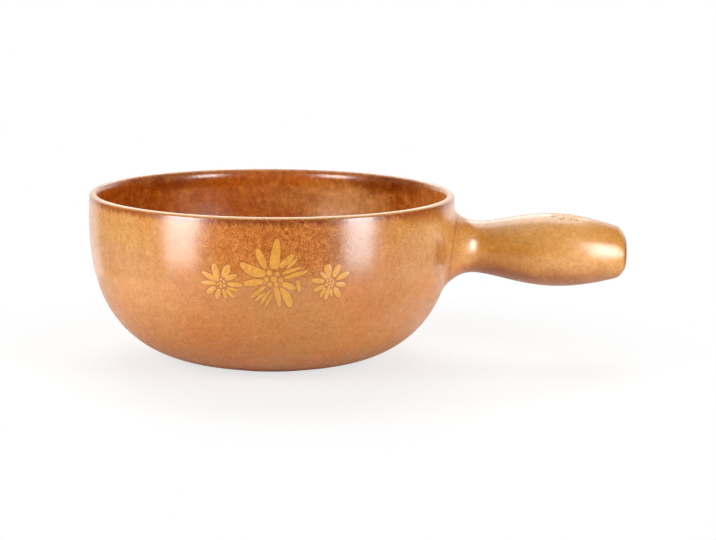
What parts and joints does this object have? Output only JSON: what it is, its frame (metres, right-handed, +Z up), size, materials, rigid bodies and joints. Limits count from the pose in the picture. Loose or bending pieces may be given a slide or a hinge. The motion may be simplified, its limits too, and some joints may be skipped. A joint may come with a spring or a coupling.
{
  "type": "fondue pot",
  "caption": "Round stoneware fondue pot with a hollow barrel handle, amber glaze and raised edelweiss flowers on its front and handle.",
  "frame": {"origin": "centre of the flat standing face under the bowl", "axes": "+Z up through the bowl's mouth, +X along the handle away from the bowl, -Y towards the front flowers"},
  "size_m": [0.3241, 0.2211, 0.1022],
  "materials": {
    "bowl_glaze": "gloss amber glaze, speckled",
    "handle_glaze": "gloss amber glaze, speckled",
    "joint_glaze": "gloss amber glaze",
    "flower_glaze": "satin pale yellow glaze"
  },
  "bodies": {
    "root": {"bowl": "bowl_glaze", "handle": "handle_glaze", "slip_joint": "joint_glaze", "flower_centre": "flower_glaze", "flower_left": "flower_glaze", "flower_right": "flower_glaze", "flower_handle": "flower_glaze"}
  },
  "joints": []
}
